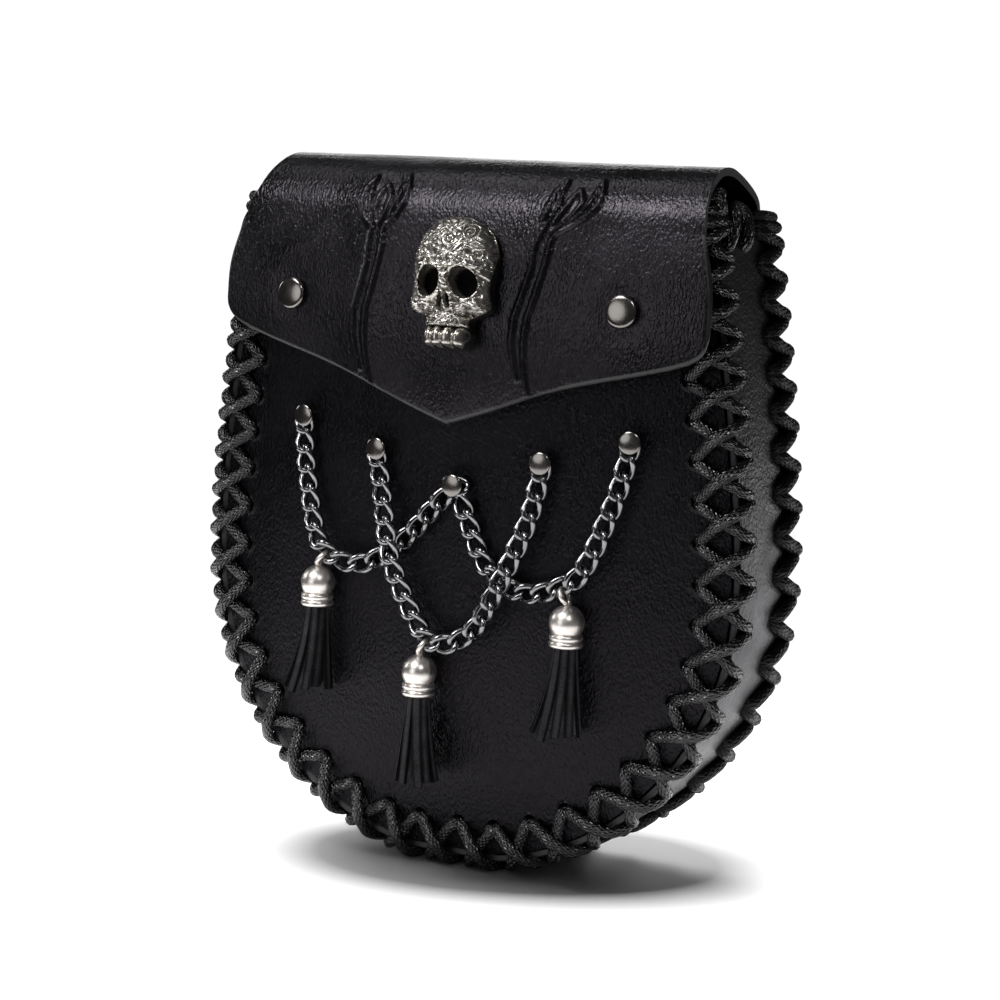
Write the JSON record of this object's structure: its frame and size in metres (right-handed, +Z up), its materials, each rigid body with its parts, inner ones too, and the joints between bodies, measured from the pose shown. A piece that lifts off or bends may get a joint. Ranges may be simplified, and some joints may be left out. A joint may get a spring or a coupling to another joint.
{
  "type": "belt pouch",
  "caption": "Rounded leather belt pouch with cross-laced edges, a pointed flap with a skull ornament, hanging chains and fringed tassels, worn on a belt and standing by itself.",
  "frame": {"origin": "on the standing plane, under the middle of the pouch's whole box", "axes": "+X to the viewer's right when facing the flap, +Y to the back where the belt runs, +Z up"},
  "size_m": [0.1898, 0.0802, 0.2249],
  "materials": {
    "leather": "semi-gloss grained",
    "lace": "waxed braid",
    "suede": "matt suede",
    "nickel": "polished",
    "gunmetal": "dark polished",
    "antique_silver": "antique cast"
  },
  "bodies": {
    "root": {"front_panel": "leather", "gusset": "leather", "back_and_flap": "leather", "belt_loop": "leather", "front_lacing": "lace", "back_lacing": "lace", "skull_concho": "antique_silver", "flap_rivet_left": "nickel", "flap_rivet_right": "nickel", "chain_rivet_1": "nickel", "chain_rivet_2": "nickel", "chain_rivet_3": "nickel", "chain_rivet_4": "nickel", "chain_rivet_5": "nickel", "chain_outer": "gunmetal", "chain_inner": "gunmetal", "tassel_cap_left": "nickel", "tassel_fringe_left": "suede", "tassel_cap_middle": "nickel", "tassel_fringe_middle": "suede", "tassel_cap_right": "nickel", "tassel_fringe_right": "suede"}
  },
  "joints": []
}
